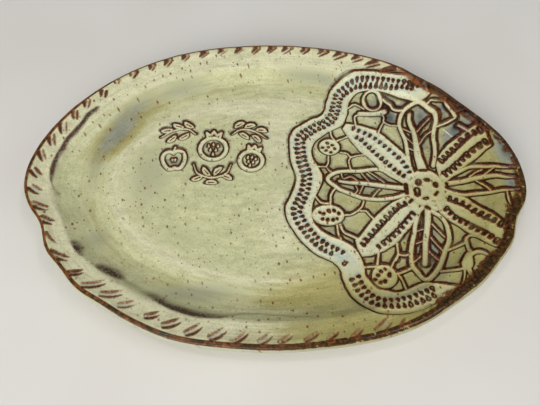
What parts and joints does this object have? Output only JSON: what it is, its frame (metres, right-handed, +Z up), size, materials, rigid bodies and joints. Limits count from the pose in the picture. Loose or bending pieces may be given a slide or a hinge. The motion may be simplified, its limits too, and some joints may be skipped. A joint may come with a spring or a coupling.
{
  "type": "rosh hashanah plate",
  "caption": "Oval hand-built stoneware platter with a thickened rim band, a shallow glazed well and an oval foot ring.",
  "frame": {"origin": "middle of the box round the platter, at the plane it stands on", "axes": "+X along the long side, towards the end with the doily pattern; +Y across, away from a person reading the platter; +Z up, out of the well"},
  "size_m": [0.331, 0.2262, 0.0244],
  "materials": {
    "bare_stoneware": "unglazed warm buff stoneware with iron specks",
    "face_glaze": "glossy pale olive cream glaze, breaking brown on edges and pale blue where thick",
    "back_glaze": "glossy pale olive cream glaze, thinner than on the face"
  },
  "bodies": {
    "root": {"clay_slab": "bare_stoneware", "rim_strip": "bare_stoneware", "foot_ring": "bare_stoneware", "face_glaze": "face_glaze", "flange_glaze": "back_glaze", "floor_glaze": "back_glaze"}
  },
  "joints": []
}
